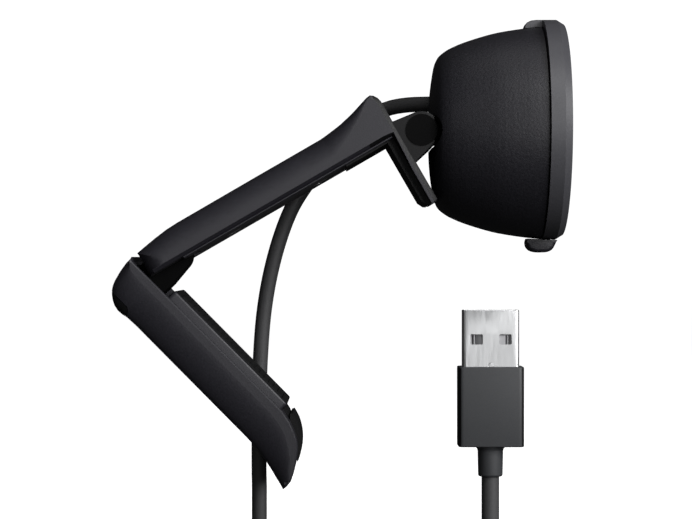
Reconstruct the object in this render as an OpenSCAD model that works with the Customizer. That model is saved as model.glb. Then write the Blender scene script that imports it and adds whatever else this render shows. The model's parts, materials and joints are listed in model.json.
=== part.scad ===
// Clip-on webcam: a round camera head that tilts on a folding screen clip, with its lead and USB-A plug.
// +X is the way the lens looks, +Z is up. The origin is the middle of the pad that rests on a screen's top edge.
// All sizes are in millimetres.

/* [Head] */
// Outer diameter of the front ring
ring_d = 52.7; // [50:0.1:56]
// Height of the ring's centre above the origin
ring_z = 6.9; // [5:0.1:9]
// Height of the shell's centre above the origin
shell_z = 6.15; // [4:0.05:8]
// Wall of the head shell
shell_wall = 2; // [1.5:0.1:2.4]
// Front edge of the head shell
shell_front_x = 42; // [41:0.1:42.1]
// Gap between shell and ring
seam = 0.4; // [0.3:0.1:0.6]
// Front face of the ring
ring_front_x = 47.4; // [47:0.1:49]

/* [Shutter] */
// Swing that covers the lens
shutter_swing = 18; // [16:1:18]
// Width of the finger tab
tab_w = 8; // [5:0.5:9]

/* [Tilt hinge] */
// Pin centre, along X
tilt_x = 13.15; // [13:0.05:13.3]
// Pin centre, up
tilt_z = 6; // [5.9:0.05:6.1]
// Pin radius
pin_r = 1.5; // [1.2:0.1:1.8]
// Radial clearance between a pin and what turns on it
running = 0.06; // [0.02:0.01:0.1]
// Radius of the clip's ears and of the head's knuckle
ear_r = 4.4; // [4.2:0.1:4.4]

/* [Clip] */
// Rise of the arm towards the lip, in degrees
arm_rise = 30; // [28:0.5:32]
// Half the clip's width
clip_half = 16.2; // [15:0.1:17]
// Thickness of the lip plate
lip_t = 1.7; // [1.5:0.1:2]
// Inner face of the lip's pad, from the origin along the arm
lip_pad_face = 6.1; // [6.1:0.1:6.3]

/* [Leg] */
// Leg hinge centre, along X
leg_x = -45.4; // [-46:0.1:-45]
// Leg hinge centre, up
leg_z = -23.4; // [-24:0.1:-23]
// Fall of the open leg below level, in degrees
leg_fall = 45.3; // [44:0.1:47]
// Half the leg's width
leg_half = 16; // [15:0.1:16.5]
// Half the width of the hinge lug
lug_half = 6; // [5:0.1:10]

/* [Lead] */
// Diameter of the lead
cord_d = 3.8; // [3.4:0.1:4.2]
// Straight run of the tied hank
hank_run = 74; // [57:1:76]
// Inner turn radius of the hank, to the middle of the lead
hank_r = 12; // [11.4:0.1:13]
// Turns side by side in the hank
hank_cols = 3; // [3:1:3]
// Layers of the hank
hank_rows = 2; // [2:1:2]
// Level that the hank lies on
floor_z = -104; // [-110:1:-100]

/* [Plug] */
// Plug centre, along X
plug_x = 26.2; // [25:0.1:28]
// Plug centre, along Y
plug_y = -58; // [-60:0.5:-50]
// Open end of the metal shell
plug_tip_z = -34.9; // [-36:0.1:-34]
// Width of the metal shell
usb_w = 12; // [12:0.1:12.1]
// Thickness of the metal shell
usb_t = 4.5; // [4.5:0.1:4.6]
// Visible length of the metal shell
usb_l = 12; // [11.5:0.1:12]

/* [Hidden] */
$fn = 72;
tiny_fn = 24;
slack = 0.3;
far = 60;
black = [0.04, 0.04, 0.045];
charcoal = [0.1, 0.1, 0.105];
grey = [0.2, 0.2, 0.205];
steel = [0.75, 0.75, 0.76];

// ---- helpers ----

// A rod along Y at (x, z), from y0 to y1
module rod_y(x, z, r, y0, y1) {
  translate([x, y1, z])
    rotate([90, 0, 0])
      cylinder(h = y1 - y0, r = r);
}

// A rod along X at (y, z), from x0 to x1
module rod_x(y, z, r, x0, x1) {
  translate([x0, y, z])
    rotate([0, 90, 0])
      cylinder(h = x1 - x0, r = r);
}

// A side outline in X and Z, made solid from y0 to y1
module side(points, y0, y1) {
  translate([0, y1, 0])
    rotate([90, 0, 0])
      linear_extrude(height = y1 - y0)
        polygon(points);
}

// A cross-section in Y and Z, made solid from x0 to x1
module section(points, x0, x1) {
  translate([x0, 0, 0])
    rotate([90, 0, 90])
      linear_extrude(height = x1 - x0)
        polygon(points);
}

// A box given by its low and high corners
module block(low, high) {
  translate(low)
    cube(high - low);
}

// An outline of [radius, x] points turned about the X direction at height z
module turned_x(points, z) {
  translate([0, 0, z])
    rotate([0, 90, 0])
      rotate_extrude()
        polygon(points);
}

// The children on both sides of the Y = 0 plane
module both_sides() {
  children();
  mirror([0, 1, 0])
    children();
}

// The frame whose X runs up the arm towards the lip
module clip_frame() {
  rotate([0, -arm_rise, 0])
    children();
}

// The frame at the leg hinge whose X runs down the leg and whose Z points into the jaw
module leg_frame() {
  translate([leg_x, 0, leg_z])
    rotate([0, leg_fall, 0])
      children();
}

// A point of the world's X and Z, seen in the clip's frame
function in_clip(x, z) =
  [x * cos(arm_rise) + z * sin(arm_rise), -x * sin(arm_rise) + z * cos(arm_rise)];

// A point of an arc, and a run of them
function arc_at(c, r, a) = c + r * [cos(a), sin(a)];
function arc(c, r, a0, a1, n) = [for (i = [0 : n]) arc_at(c, r, a0 + (a1 - a0) * i / n)];

// The direction, from a circle's centre c, of the point where a line from point p touches it, on side s
function touch_angle(p, c, r, s) =
  let(v = p - c)
  atan2(v[1], v[0]) + s * acos(r / norm(v));

// A smooth run of points through the given ones, n steps from each to the next
function between(a, b, c, d, t) =
  0.5 * (2 * b + (c - a) * t + (2 * a - 5 * b + 4 * c - d) * t * t + (3 * b - a - 3 * c + d) * t * t * t);
function smooth(p, n) = concat(
  [for (i = [0 : len(p) - 2], k = [0 : n - 1])
    between(p[max(i - 1, 0)], p[i], p[i + 1], p[min(i + 2, len(p) - 1)], k / n)],
  [p[len(p) - 1]]);

// Leg outlines are written [along, out], with out measured away from the jaw
function leg_points(p) = [for (q = p) [q[0], -q[1]]];

// ---- head ----

ring_r = ring_d / 2;
shell_back_x = 15.6;
// [radius, x] of the shell's outside, from the flat back's edge to the front edge
shell_curve = smooth([
  [9, 15.6], [11, 15.8], [13.2, 16.1], [16, 16.6], [17.6, 17.25], [18.6, 18], [19.6, 19.3], [20.4, 20.7],
  [21.6, 23.5], [23, 27.8], [24.1, 32.1], [25, 37.8], [25.4, shell_front_x]], 3);
inner_back_x = shell_back_x + shell_wall + 0.4;
shell_outside = concat([[0, shell_back_x]], shell_curve, [[0, shell_front_x]]);
shell_inside = concat(
  [[0, inner_back_x]],
  [for (q = shell_curve) if (q[1] > inner_back_x) q - [shell_wall, 0]],
  [[0, shell_front_x + 1]]);
groove_r = ear_r + 0.35;
groove_wall = 1.6;
neck_half = 7.5;
neck_h = 2.5;
flange_x = tilt_x + groove_r + groove_wall;

exit_x = 15.6;
exit_y = 13;
exit_z = 14.1;
exit_turn = 25;
grommet_r = 2.9;
grommet_in = 4.2;

module at_exit() {
  translate([exit_x, exit_y, exit_z])
    rotate([0, 0, 180 - exit_turn])
      rotate([0, 90, 0])
        children();
}

module head_shell() {
  color(charcoal)
    difference() {
      union() {
        difference() {
          turned_x(shell_outside, shell_z);
          turned_x(shell_inside, shell_z);
        }
        intersection() {
          turned_x(shell_outside, shell_z);
          rod_y(tilt_x, tilt_z, groove_r + groove_wall, -far, far);
        }
      }
      rod_y(tilt_x, tilt_z, groove_r, -far, far);
      block([tilt_x, -neck_half, tilt_z - neck_h], [flange_x + 1, neck_half, tilt_z + neck_h]);
      at_exit()
        translate([0, 0, -grommet_in - 1])
          cylinder(h = grommet_in + far, r = grommet_r);
    }
}

knuckle_half = 9.6;
flange_half = 11;
flange_h = 6;
flange_t = 2;
module tilt_knuckle() {
  color(black)
    difference() {
      union() {
        rod_y(tilt_x, tilt_z, ear_r, -knuckle_half, knuckle_half);
        block([tilt_x, -neck_half, tilt_z - neck_h], [flange_x + 1, neck_half, tilt_z + neck_h]);
        block([flange_x, -flange_half, tilt_z - flange_h], [flange_x + flange_t, flange_half, tilt_z + flange_h]);
      }
      rod_y(tilt_x, tilt_z, pin_r + running, -far, far);
    }
}

ring_back_x = shell_front_x + seam;
web_t = 1;
web_r = 21.5;
ring_wall_r = 23.6;
collar_r = 22.8;
collar_t = 1.4;
collar_back_x = 38.5;
lug_back_x = 38.2;
lug_w = 9;
lug_top_z = ring_z + ring_r;
// [radius, x] of the lug's rounded back
lug_round = [[24.5, lug_back_x], [25.2, 38.4], [25.8, 38.95], [26.2, 39.8], [ring_r, 41]];
slot_front_x = 45;
slot_back_x = 43.6;
slot_y = 18.5;
stem_half = 1.5;
module front_ring() {
  color(grey)
    difference() {
      union() {
        turned_x([
          [web_r, ring_back_x], [ring_r, ring_back_x], [ring_r, 45.7], [25.3, ring_front_x],
          [24.3, ring_front_x], [ring_wall_r, 46.6], [ring_wall_r, ring_back_x + web_t],
          [web_r, ring_back_x + web_t]], ring_z);
        turned_x([
          [collar_r - collar_t, collar_back_x], [collar_r, collar_back_x],
          [collar_r, ring_back_x + web_t], [collar_r - collar_t, ring_back_x + web_t]], shell_z);
        difference() {
          intersection() {
            turned_x(concat(
              [[0, lug_back_x]], lug_round, [[ring_r, ring_back_x + 1], [0, ring_back_x + 1]]), ring_z);
            block([lug_back_x, -lug_w / 2, lug_top_z - 3], [ring_back_x + 1, lug_w / 2, lug_top_z]);
          }
          turned_x([[0, lug_back_x - 1], [25.15, lug_back_x - 1], [25.5, ring_back_x], [0, ring_back_x]], shell_z);
        }
      }
      block([slot_back_x, -stem_half - 0.4, ring_z - far], [slot_front_x, slot_y, ring_z - 15]);
    }
}

plate_back_x = 45.2;
plate_t = 1.2;
window_r = 7;
mic_y = 19.5;
led_y = -13.5;
hole_r = 0.6;
module face_plate() {
  color(black)
    difference() {
      rod_x(0, ring_z, ring_wall_r - 0.05, plate_back_x, plate_back_x + plate_t);
      rod_x(0, ring_z, window_r, plate_back_x - 1, plate_back_x + plate_t + 1);
      both_sides()
        rod_x(mic_y, ring_z, hole_r, plate_back_x - 1, plate_back_x + plate_t + 1, $fn = tiny_fn);
      rod_x(led_y, ring_z, hole_r + 0.2, plate_back_x - 1, plate_back_x + plate_t + 1, $fn = tiny_fn);
    }
}

module lens_window() {
  color([0.5, 0.55, 0.6, 0.35])
    rod_x(0, ring_z, window_r, plate_back_x + 0.2, plate_back_x + plate_t);
}

barrel_r = 4.9;
bore_r = 3.4;
barrel_back_x = 34;
barrel_front_x = 42.9;
module lens_barrel() {
  color(black)
    difference() {
      rod_x(0, ring_z, barrel_r, barrel_back_x, barrel_front_x);
      rod_x(0, ring_z, bore_r, barrel_back_x - 1, barrel_front_x + 1);
      turned_x([[0, 42.5], [bore_r, 42.5], [4.2, 43], [0, 43]], ring_z);
    }
}

glass_curve_r = 6;
glass_back_x = 40.6;
glass_rear_x = 36;
module lens_glass() {
  color([0.25, 0.2, 0.4, 0.6])
    intersection() {
      union() {
        rod_x(0, ring_z, bore_r, glass_back_x, 43);
        rod_x(0, ring_z, bore_r, glass_rear_x, glass_rear_x + 1.2);
      }
      translate([42.4 - glass_curve_r, 0, ring_z])
        sphere(r = glass_curve_r);
    }
}

board_back_x = 29;
board_t = 1.2;
board_front_x = board_back_x + board_t;
board_r = 19;
holder_half = 6.5;
holder_front_x = 35;
holder_r = 6.2;
module lens_holder() {
  color(black)
    difference() {
      union() {
        block([board_front_x, -holder_half, ring_z - holder_half],
          [holder_front_x, holder_half, ring_z + holder_half]);
        rod_x(0, ring_z, holder_r, holder_front_x - 1, 40);
      }
      rod_x(0, ring_z, barrel_r, barrel_back_x, 41);
      block([board_front_x - 1, -5, ring_z - 5], [barrel_back_x - 1, 5, ring_z + 5]);
      rod_x(0, ring_z, bore_r, barrel_back_x - 2, barrel_back_x + 1);
    }
}

module image_sensor() {
  color([0.2, 0.25, 0.3])
    block([board_front_x, -3.6, ring_z - 3], [board_front_x + 0.9, 3.6, ring_z + 3]);
}

post_ring_r = 15.5;
post_r = 2.3;
screw_r = 1;
module at_posts() {
  for (a = [90, 210, 330])
    translate([0, post_ring_r * cos(a), shell_z + post_ring_r * sin(a)])
      children();
}

module main_board() {
  color([0.05, 0.25, 0.12])
    difference() {
      rod_x(0, shell_z, board_r, board_back_x, board_front_x);
      at_posts()
        rod_x(0, 0, screw_r, board_back_x - 1, board_front_x + 1, $fn = tiny_fn);
    }
}

screw_end_x = 35;
module board_screws() {
  color(steel)
    at_posts() {
      rod_x(0, 0, screw_r, board_back_x - 0.5, screw_end_x, $fn = tiny_fn);
      rod_x(0, 0, 1.9, board_back_x - 1.3, board_back_x, $fn = tiny_fn);
    }
}

chassis_t = 1.5;
chassis_back_x = collar_back_x - chassis_t;
module chassis() {
  color(charcoal)
    difference() {
      union() {
        rod_x(0, shell_z, 22.4, chassis_back_x, collar_back_x);
        at_posts()
          rod_x(0, 0, post_r, board_front_x, chassis_back_x + 1, $fn = tiny_fn);
      }
      rod_x(0, ring_z, holder_r + 0.8, chassis_back_x - 1, collar_back_x + 1);
      at_posts()
        rod_x(0, 0, screw_r, board_front_x - 1, screw_end_x, $fn = tiny_fn);
      rod_x(led_y, ring_z, 1.4, chassis_back_x - 1, collar_back_x + 1, $fn = tiny_fn);
      both_sides()
        rod_x(mic_y, ring_z, 1, chassis_back_x - 1, collar_back_x + 1, $fn = tiny_fn);
    }
}

lead_y = 11.5;
connector_back_x = 25.5;
module board_connector() {
  color([0.85, 0.83, 0.75])
    block([connector_back_x, lead_y - 3.5, exit_z - 2.5], [board_back_x, lead_y + 3, exit_z + 2.5]);
}

inner_lead_r = 1.3;
module inner_lead() {
  color([0.5, 0.5, 0.5])
    rod_x(lead_y, exit_z, inner_lead_r, 20.8, connector_back_x, $fn = tiny_fn);
}

module microphones() {
  color([0.7, 0.65, 0.4])
    both_sides()
      block([board_front_x, 15, ring_z - 1.5], [board_front_x + 1.1, 18, ring_z + 1.5]);
}

module status_led() {
  color([0.9, 0.95, 1])
    block([board_front_x, led_y - 0.8, ring_z - 0.8], [board_front_x + 0.7, led_y + 0.8, ring_z + 0.8]);
}

module light_pipe() {
  color([0.9, 0.95, 1, 0.5])
    rod_x(led_y, ring_z, hole_r + 0.2, board_front_x + 0.8, plate_back_x + plate_t - 0.1, $fn = tiny_fn);
}

pivot_z = 27;
pivot_r = 1.2;
blade_back_x = 43.8;
blade_t = 0.8;
module shutter_pivot() {
  color(steel)
    rod_x(0, pivot_z, pivot_r, ring_back_x + web_t, plate_back_x, $fn = tiny_fn);
}

module cord_grommet() {
  color(black)
    intersection() {
      turned_x(shell_outside, shell_z);
      at_exit()
        translate([0, 0, -grommet_in])
          difference() {
            cylinder(h = far, r = grommet_r);
            translate([0, 0, 1])
              cylinder(h = far, r = cord_d / 2 + slack);
          }
    }
}

// ---- shutter ----

blade_w = 5;
aperture_r = 2.8;
cover_r = 10.5;
tab_gap = 0.1;
tab_top = lug_top_z - ring_d - tab_gap;
// [x, z] of the finger tab's rounded side, from its back over the bottom to its front
tab_side = [
  [39.1, tab_top], [38.7, -19.9], [38.6, -20.4], [38.75, -21.1], [39.25, -21.8], [40, -22.25], [41.2, -22.5],
  [43, -22.5], [44.1, -22.25], [44.9, -21.7], [45.4, -20.9], [45.75, -20.1], [45.8, tab_top]];
module shutter_blade() {
  color(grey)
    difference() {
      union() {
        block([blade_back_x, -blade_w / 2, ring_z], [blade_back_x + blade_t, blade_w / 2, pivot_z]);
        block([blade_back_x, -stem_half, tab_top - 0.5], [blade_back_x + blade_t, stem_half, ring_z]);
        rod_x(0, pivot_z, 3, blade_back_x, blade_back_x + blade_t);
        rod_x(0, ring_z, cover_r, blade_back_x, blade_back_x + blade_t);
        side(tab_side, -tab_w / 2, tab_w / 2);
      }
      rod_x(0, pivot_z, pivot_r + running, blade_back_x - 1, blade_back_x + 2, $fn = tiny_fn);
      rod_x(0, ring_z, aperture_r, blade_back_x - 1, blade_back_x + 2);
    }
}

// ---- clip ----

pin_c = in_clip(tilt_x, tilt_z);
hinge_c = in_clip(leg_x, leg_z);
arm_under = 0.45;
base_top = 1.85;
lip_front = 9.5;
lip_back = lip_front - lip_t;
lip_low = -17.6;
arm_end_r = 6.9;
fork_end = hinge_c[0] + 6;
// Top of the bracket from the hinge end to the lip, [along, up]
arm_top = concat(
  [[-57.8, 7], [-52.4, 7.75], [-49, 8.25], [-46, 8.35]],
  smooth([[-7.1, 8.45], [-2.4, 8.95], [1.7, 9.85], [5.3, 11], [7, 11.55]], 3),
  [[7.9, 11.65], [8.6, 11.15], [9.2, 10.25], [lip_front, 9.2]]);
bracket_outline = concat(
  arc(hinge_c, arm_end_r, 196.7, 162, 8),
  arm_top,
  [[lip_front, lip_low + 0.5], [lip_front - 0.6, lip_low], [lip_back + 0.3, lip_low], [lip_back, lip_low + 0.3],
   [lip_back, arm_under]]);
ear_in = 10;
ear_out = 15.8;
ear_root_top = [lip_front, 3.7];
ear_root_low = [lip_front, -7];
ear_outline = concat(
  [ear_root_low - [0.5, 0], ear_root_low],
  arc(pin_c, ear_r, touch_angle(ear_root_low, pin_c, ear_r, 1), touch_angle(ear_root_top, pin_c, ear_r, -1), 24),
  [ear_root_top, ear_root_top - [0.5, 0]]);
scoop_gap = 0.45;
shell_clear = concat(
  [[0, shell_back_x - scoop_gap]],
  [for (q = shell_curve) q + [scoop_gap * 0.7, -scoop_gap]],
  [[0, shell_front_x]]);
cavity_half = 13.6;
cavity_top = 6.6;
cap_r = 3.7;
cap_in = 15;
module clip_bracket() {
  color(charcoal)
    difference() {
      clip_frame() {
        side(bracket_outline, -clip_half, clip_half);
        both_sides()
          side(ear_outline, ear_in, ear_out);
      }
      clip_frame() {
        block([-2 * far, -lug_half - slack, -far], [fork_end, lug_half + slack, far]);
        block([-43, -cavity_half, -far], [5, cavity_half, cavity_top]);
        block([-44, -far, -far], [lip_back, far, base_top]);
      }
      turned_x(shell_clear, shell_z);
      rod_y(tilt_x, tilt_z, pin_r, -far, far);
      both_sides()
        rod_y(tilt_x, tilt_z, cap_r, cap_in, far);
      rod_y(leg_x, leg_z, pin_r, -14.2, far);
      rod_y(leg_x, leg_z, 2.2, 14.6, far);
    }
}

base_chamfer = 1;
base_half = clip_half - 0.15;
base_screw_r = 1;
module at_base_screws() {
  clip_frame()
    for (x = [-36, -12])
      translate([x, 0, 0])
        children();
}
module arm_base() {
  color(charcoal)
    difference() {
      union() {
        clip_frame() {
          section([
            [-base_half + base_chamfer, arm_under], [base_half - base_chamfer, arm_under],
            [base_half, base_top], [-base_half, base_top]], -43.9, lip_back);
          block([-42.9, -cavity_half + 0.1, base_top - 0.1], [4.9, cavity_half - 0.1, base_top + 0.8]);
        }
      }
      at_base_screws()
        cylinder(h = far, r = base_screw_r, $fn = tiny_fn);
      at_base_screws()
        cylinder(h = arm_under + 0.7, r = 2.1, $fn = tiny_fn);
    }
}

stiff_low = 3.4;
stiff_high = 4.6;
module arm_stiffener() {
  color(steel)
    difference() {
      clip_frame()
        block([-42, -9, stiff_low], [4, 9, stiff_high]);
      at_base_screws()
        cylinder(h = far, r = base_screw_r, $fn = tiny_fn);
    }
}

module base_screws() {
  color(steel)
    at_base_screws() {
      translate([0, 0, arm_under + 0.2])
        cylinder(h = stiff_high + 0.6 - arm_under, r = base_screw_r, $fn = tiny_fn);
      translate([0, 0, arm_under + 0.05])
        cylinder(h = 0.65, r = 2.1, $fn = tiny_fn);
    }
}

pad_half = 14;
module arm_pad() {
  color(black)
    clip_frame()
      block([-5, -pad_half, 0], [lip_pad_face - 0.1, pad_half, arm_under]);
}

module lip_pad() {
  color(black)
    clip_frame()
      side([
        [lip_pad_face, -0.3], [lip_pad_face, -15.6], [lip_pad_face + 0.7, -17], [lip_back - 0.4, -17.4],
        [lip_back, -17.1], [lip_back, arm_under], [lip_pad_face, arm_under]], -pad_half, pad_half);
}

module tilt_pin() {
  color(steel)
    rod_y(tilt_x, tilt_z, pin_r, -cap_in, cap_in);
}

module tilt_caps() {
  color(black)
    both_sides()
      rod_y(tilt_x, tilt_z, cap_r, cap_in, ear_out + 0.25);
}

module friction_washers() {
  color(steel)
    both_sides()
      difference() {
        rod_y(tilt_x, tilt_z, 3.4, knuckle_half + 0.02, ear_in);
        rod_y(tilt_x, tilt_z, pin_r, 0, far);
      }
}

module leg_pin() {
  color(steel)
    rod_y(leg_x, leg_z, pin_r, -14.2, 14.6);
}

module leg_pin_plug() {
  color(black)
    rod_y(leg_x, leg_z, 2.2, 14.6, clip_half);
}

// ---- leg ----

outer_face = 17.3;
rim_hi = 7.3;
rim_lo = 6.95;
heel_seam = 14.8;
lug_deep = 13.6;
tip_end = 57;
// The leg's rounded end under the foot, [along, out]
rim_curve = smooth([[47.3, 7.6], [50.4, 8.9], [52.8, 10.6], [54.6, 12.8], [56.1, 15]], 3);
// Side outline of the leg, [along, out]
leg_outline = concat(
  [[-6.3, 6.3], [-5.3, rim_hi], [44, rim_lo]],
  rim_curve,
  [[tip_end, 17], [tip_end, 19.3], [56.4, 19.3], [52, 18.4], [47.5, 17.6], [43, outer_face], [2.9, outer_face],
   [2.9, heel_seam], [-2.4, heel_seam + 0.2], [-4, 15.9]],
  smooth([[-4.4, 15.2], [-5.2, 13.4], [-5.9, 11], [-6.3, 8.6]], 3));
heel_outline = [
  [2.9, heel_seam], [2.9, 17.1], [2.2, 17.6], [0.8, 17.9], [-0.8, 17.8], [-2, 17.1], [-2.8, 16.4], [-4, 15.9],
  [-2.4, heel_seam + 0.2]];
// Half of the leg's cross-section, [across, out]
leg_half_section = [
  [leg_half - 1, 0], [leg_half - 1, rim_lo], [leg_half, rim_lo + 1.2], [leg_half, 12.4], [leg_half - 0.25, 13.9],
  [leg_half - 1, 15.4], [leg_half - 2.2, 16.6], [leg_half - 4, 17.5], [leg_half - 6, 18.6], [leg_half - 8, 19.5],
  [0, 19.6], [0, 0]];
// The children inside the leg's rounded cross-section
module leg_rounded() {
  intersection() {
    children();
    both_sides()
      section([for (q = leg_half_section) [q[0], -q[1]]], -far, far);
  }
}
wall_in = 13.4;
block_end = 43.9;
module leg_shell() {
  color(charcoal)
    difference() {
      leg_frame()
        leg_rounded()
          side(leg_points(leg_outline), -leg_half, leg_half);
      leg_frame()
        block([-4.2, -wall_in, -lug_deep], [2.9, wall_in, 0]);
      leg_frame()
        block([2.8, -wall_in, -15.3], [block_end, wall_in, 0]);
    }
}

lug_r = 4;
lug_foot = 4.5;
module leg_lug() {
  color(black)
    difference() {
      leg_frame()
        union() {
          rod_y(0, 0, lug_r, -lug_half, lug_half);
          side(leg_points([[-lug_r, 0], [-lug_r, 7.2], [-4.1, 8.4], [-4.1, lug_deep], [lug_foot, lug_deep],
            [lug_foot, 5], [lug_r, 0]]), -lug_half, lug_half);
          block([-4.1, -wall_in + 0.1, -lug_deep], [lug_foot, wall_in - 0.1, -11]);
        }
      rod_y(leg_x, leg_z, pin_r + running, -far, far);
      leg_frame()
        both_sides()
          translate([1, 6, -far])
            cylinder(h = far - 10, r = screw_r, $fn = tiny_fn);
    }
}

module lug_screws() {
  color(steel)
    leg_frame()
      both_sides()
        translate([1, 6, -lug_deep])
          cylinder(h = lug_deep - 10, r = screw_r, $fn = tiny_fn);
}

block_start = 6.3;
block_half = 13.2;
block_low = 15.2;
block_top = 5.15;
skin_top = 4.95;
skin_t = 1.2;
skin_half = 9.2;
skin_inset = 2;
block_round = [[0, 7.9], [0.3, 6.9], [1, 6.05], [2, 5.45], [3.4, block_top]];
module leg_skin() {
  leg_frame()
    block([block_start + skin_inset, -skin_half, -skin_top - skin_t],
      [block_end - skin_inset, skin_half, -skin_top]);
}

module leg_block() {
  color(charcoal)
    difference() {
      leg_frame() {
        intersection() {
          side(leg_points([
            [block_start, 10], [block_start, block_top + 1.4], [block_start + 0.5, block_top + 0.4],
            [block_start + 1.6, block_top], [block_end - 1.6, block_top], [block_end - 0.5, block_top + 0.4],
            [block_end, block_top + 1.4], [block_end, 10]]), -block_half, block_half);
          section(concat(
            [[-block_half, -10], [block_half, -10]],
            [for (q = block_round) [block_half - q[0], -q[1]]],
            [for (i = [len(block_round) - 1 : -1 : 0]) [block_round[i][0] - block_half, -block_round[i][1]]]),
            0, far);
        }
        both_sides()
          block([block_start + 2, block_half - 2, -block_low], [block_end - 2, block_half, -9.9]);
      }
      leg_skin();
    }
}

module leg_pad() {
  color(black)
    leg_skin();
}

foot_half = 9.5;
foot_last = 9;
module foot_neck() {
  color(black)
    leg_frame()
      side(leg_points([[block_end, 6.35], [45.6, 6.7], [46.9, 7.45], [44, 6.95], [block_end, 6.95]]),
        -foot_half + 1, foot_half - 1);
}

module foot_pad() {
  color(black)
    leg_frame()
      side(leg_points(concat(
        smooth([[46.3, 5.9], [48.7, 6.6], [51, 7.9], [52.9, 9.5], [54.5, 11.5], [55.3, 13.2]], 2),
        [for (i = [foot_last : -1 : 0]) rim_curve[i]],
        [[46.9, 7.45], [46, 6.5]])),
        -foot_half, foot_half);
}

module heel_pad() {
  color(black)
    leg_frame()
      leg_rounded()
        side(leg_points(heel_outline), -leg_half, leg_half);
}

// ---- lead and plug ----

hank_h = hank_rows * cord_d;
hank_x = -1.1;
hank_y = -17.3;
hank_turn = -56.2;
// A point of the hank's own frame, seen in the world
function from_hank(x, y, z) = [
  hank_x + x * cos(hank_turn) - y * sin(hank_turn), hank_y + x * sin(hank_turn) + y * cos(hank_turn), floor_z + z];
hank_out = hank_r + (hank_cols - 0.5) * cord_d;
hank_in = hank_r - 0.5 * cord_d;
// The lead bends onto the floor inside the hank's loop, drop_in from its end turn's centre
drop_in = 8;
drop_x = -hank_run / 2 - drop_in;
drop_r = 3 * cord_d;
drop_z = drop_r + cord_d / 2;
join_y = hank_in - cord_d / 2 - 0.05;
// Middle line of the lead from the head down to the hank
cord_line = smooth(concat([
  [18.3, 11.7, exit_z], [exit_x, exit_y, exit_z], [11.1, 15.1, exit_z], [6.5, 17.3, 13.5], [2.8, 19, 11.9],
  [-1.8, 20.2, 8.6], [-7.5, 20.6, 3.2], [-13.6, 20.4, -4.4], [-18.5, 20, -12.4], [-22.4, 20, -23.8],
  [-24.9, 20, -36.8], [-26, 20, -51.8], [-26.2, 20, -66], [-26.2, 20, -80]],
  [for (a = [0, 30, 60, 90]) from_hank(drop_x + drop_r * (1 - cos(a)), 0, drop_z - drop_r * sin(a))],
  [from_hank(-24, 1.2, cord_d / 2), from_hank(-14, 5, cord_d / 2), from_hank(-6, join_y, cord_d / 2)]), 3);
cord_sides = 8;
function unit(v) = v / norm(v);
module tube(line, r) {
  n = len(line);
  rings = [for (i = [0 : n - 1])
    let(
      d = unit(line[min(i + 1, n - 1)] - line[max(i - 1, 0)]),
      u = unit(cross(d, [0.3, 1, 0])),
      w = cross(d, u))
    for (k = [0 : cord_sides - 1])
      line[i] + r * (cos(360 * k / cord_sides) * u + sin(360 * k / cord_sides) * w)];
  walls = [for (i = [0 : n - 2], k = [0 : cord_sides - 1])
    let(a = i * cord_sides + k, b = i * cord_sides + (k + 1) % cord_sides)
    [a, a + cord_sides, b + cord_sides, b]];
  ends = [
    [for (k = [0 : cord_sides - 1]) k],
    [for (k = [cord_sides - 1 : -1 : 0]) (n - 1) * cord_sides + k]];
  polyhedron(points = rings, faces = concat(walls, ends), convexity = 10);
}

module cord() {
  color([0.25, 0.25, 0.25])
    tube(cord_line, cord_d / 2);
}

module hank_frame() {
  translate([hank_x, hank_y, floor_z])
    rotate([0, 0, hank_turn])
      children();
}

// A flat outline with round ends
module stadium(r, h) {
  both_ends = hank_run / 2;
  translate([-both_ends, 0, 0])
    cylinder(h = h, r = r);
  translate([both_ends, 0, 0])
    cylinder(h = h, r = r);
  translate([-both_ends, -r, 0])
    cube([hank_run, 2 * r, h]);
}

module cord_hank() {
  color([0.25, 0.25, 0.25])
    hank_frame()
      difference() {
        stadium(hank_out, hank_h);
        translate([0, 0, -1])
          stadium(hank_in, hank_h + 2);
      }
}

tie_half = 4;
tie_t = 0.8;
module cord_ties() {
  color(black)
    hank_frame()
      both_sides()
        difference() {
          block([-tie_half, hank_in - tie_t, -tie_t], [tie_half, hank_out + tie_t, hank_h + tie_t]);
          block([-far, hank_in, 0], [far, hank_out, hank_h]);
        }
}

relief_low = -70.2;
body_low = -63.8;
module plug_lead() {
  color([0.25, 0.25, 0.25])
    translate([plug_x, plug_y, floor_z + hank_h])
      cylinder(h = relief_low - floor_z - hank_h, r = cord_d / 2);
}

relief_half = 2.65;
relief_collar = 3;
relief_round = 0.3;
module plug_relief() {
  color(black)
    translate([plug_x, plug_y, 0])
      rotate_extrude()
        polygon([
          [0, relief_low], [relief_half - relief_round, relief_low], [relief_half, relief_low + relief_round],
          [relief_half + 0.05, body_low - 0.6], [relief_collar, body_low - 0.25], [relief_collar, body_low],
          [0, body_low]]);
}

body_w = 13.9;
body_t = 7.6;
body_high = plug_tip_z - usb_l;
body_round = 1.6;
module plug_body() {
  color(grey)
    difference() {
      translate([plug_x, plug_y, body_low])
        linear_extrude(height = body_high - body_low)
          polygon([
            for (s = [[1, 1], [-1, 1], [-1, -1], [1, -1]], i = [0 : 4])
              let(a = (s[0] > 0 ? (s[1] > 0 ? 0 : 270) : (s[1] > 0 ? 90 : 180)) + i * 22.5)
                [s[0] * (body_w / 2 - body_round), s[1] * (body_t / 2 - body_round)]
                + body_round * [cos(a), sin(a)]]);
      block([plug_x - usb_w / 2, plug_y - usb_t / 2, body_high - 6], [plug_x + usb_w / 2, plug_y + usb_t / 2, far]);
    }
}

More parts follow.
